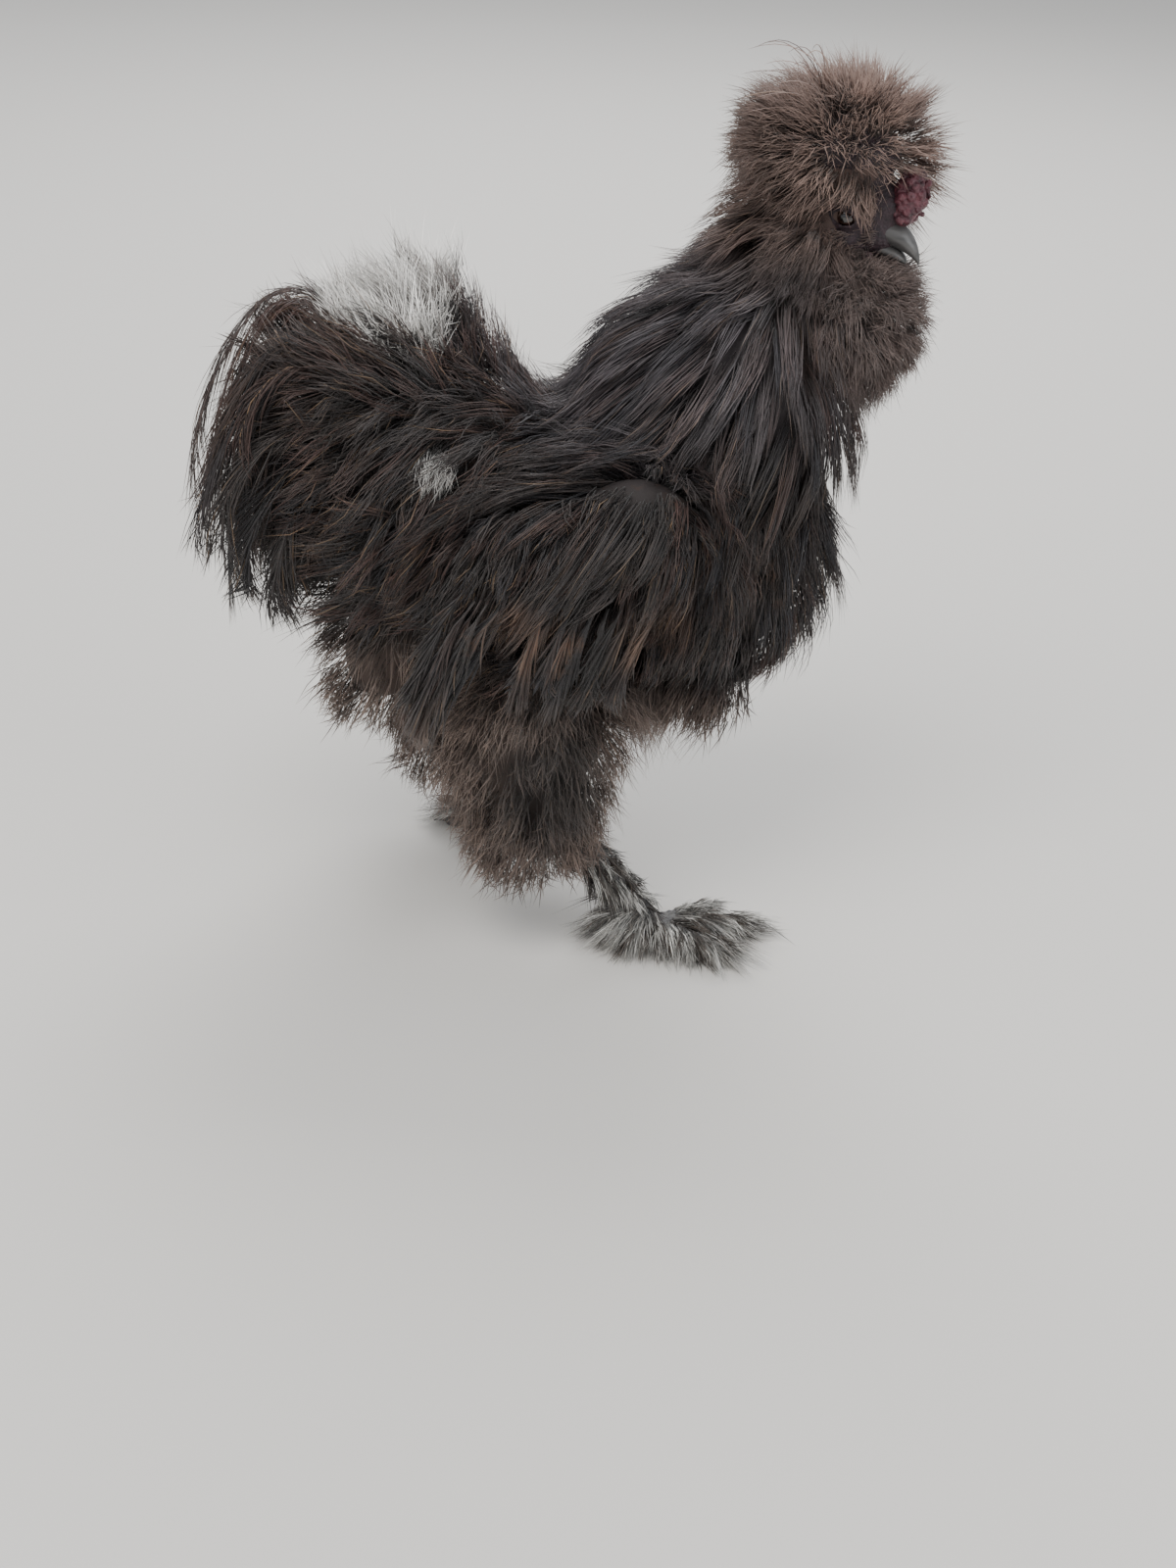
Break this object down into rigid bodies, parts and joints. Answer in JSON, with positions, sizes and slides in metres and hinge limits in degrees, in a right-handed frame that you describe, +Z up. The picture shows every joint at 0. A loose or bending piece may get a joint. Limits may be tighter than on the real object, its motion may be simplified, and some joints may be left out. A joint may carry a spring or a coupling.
{
  "type": "silkie rooster",
  "caption": "Life-size still model of a bearded silkie rooster standing with its head half turned, with crest, beard, walnut comb and feathered feet.",
  "frame": {"origin": "on the floor, under the middle of the bird's bounding box", "axes": "+X forward, the way the body faces; +Y to the bird's left; +Z up"},
  "size_m": [0.3021, 0.1756, 0.3615],
  "materials": {
    "plumage_dark": "silky charcoal feather",
    "plumage_brown": "silky warm brown feather",
    "fluff": "soft grey-brown down",
    "leg_feathering": "silver-grey feather over dark skin",
    "face_skin": "matt mulberry skin",
    "comb_flesh": "pebbled mulberry flesh",
    "earlobe_skin": "matt blue-grey skin",
    "horn": "grey horn",
    "claw_horn": "dark horn",
    "eye": "wet black-brown"
  },
  "bodies": {
    "root": {"torso": "plumage_dark", "neck": "plumage_dark", "head": "face_skin", "crest": "plumage_brown", "beard": "plumage_brown", "muff_right": "plumage_brown", "muff_left": "plumage_brown", "comb": "comb_flesh", "beak_upper": "horn", "beak_lower": "horn", "eye_right": "eye", "eye_left": "eye", "wattle_right": "face_skin", "wattle_left": "face_skin", "earlobe_right": "earlobe_skin", "earlobe_left": "earlobe_skin", "wing_right": "plumage_dark", "wing_left": "plumage_dark", "saddle": "plumage_dark", "tail": "plumage_dark", "thigh_right": "fluff", "thigh_left": "fluff", "shank_right": "leg_feathering", "shank_left": "leg_feathering", "foot_right": "leg_feathering", "foot_left": "leg_feathering", "claw_right_1": "claw_horn", "claw_right_2": "claw_horn", "claw_right_3": "claw_horn", "claw_right_4": "claw_horn", "claw_right_5": "claw_horn", "claw_left_1": "claw_horn", "claw_left_2": "claw_horn", "claw_left_3": "claw_horn", "claw_left_4": "claw_horn", "claw_left_5": "claw_horn"}
  },
  "joints": []
}
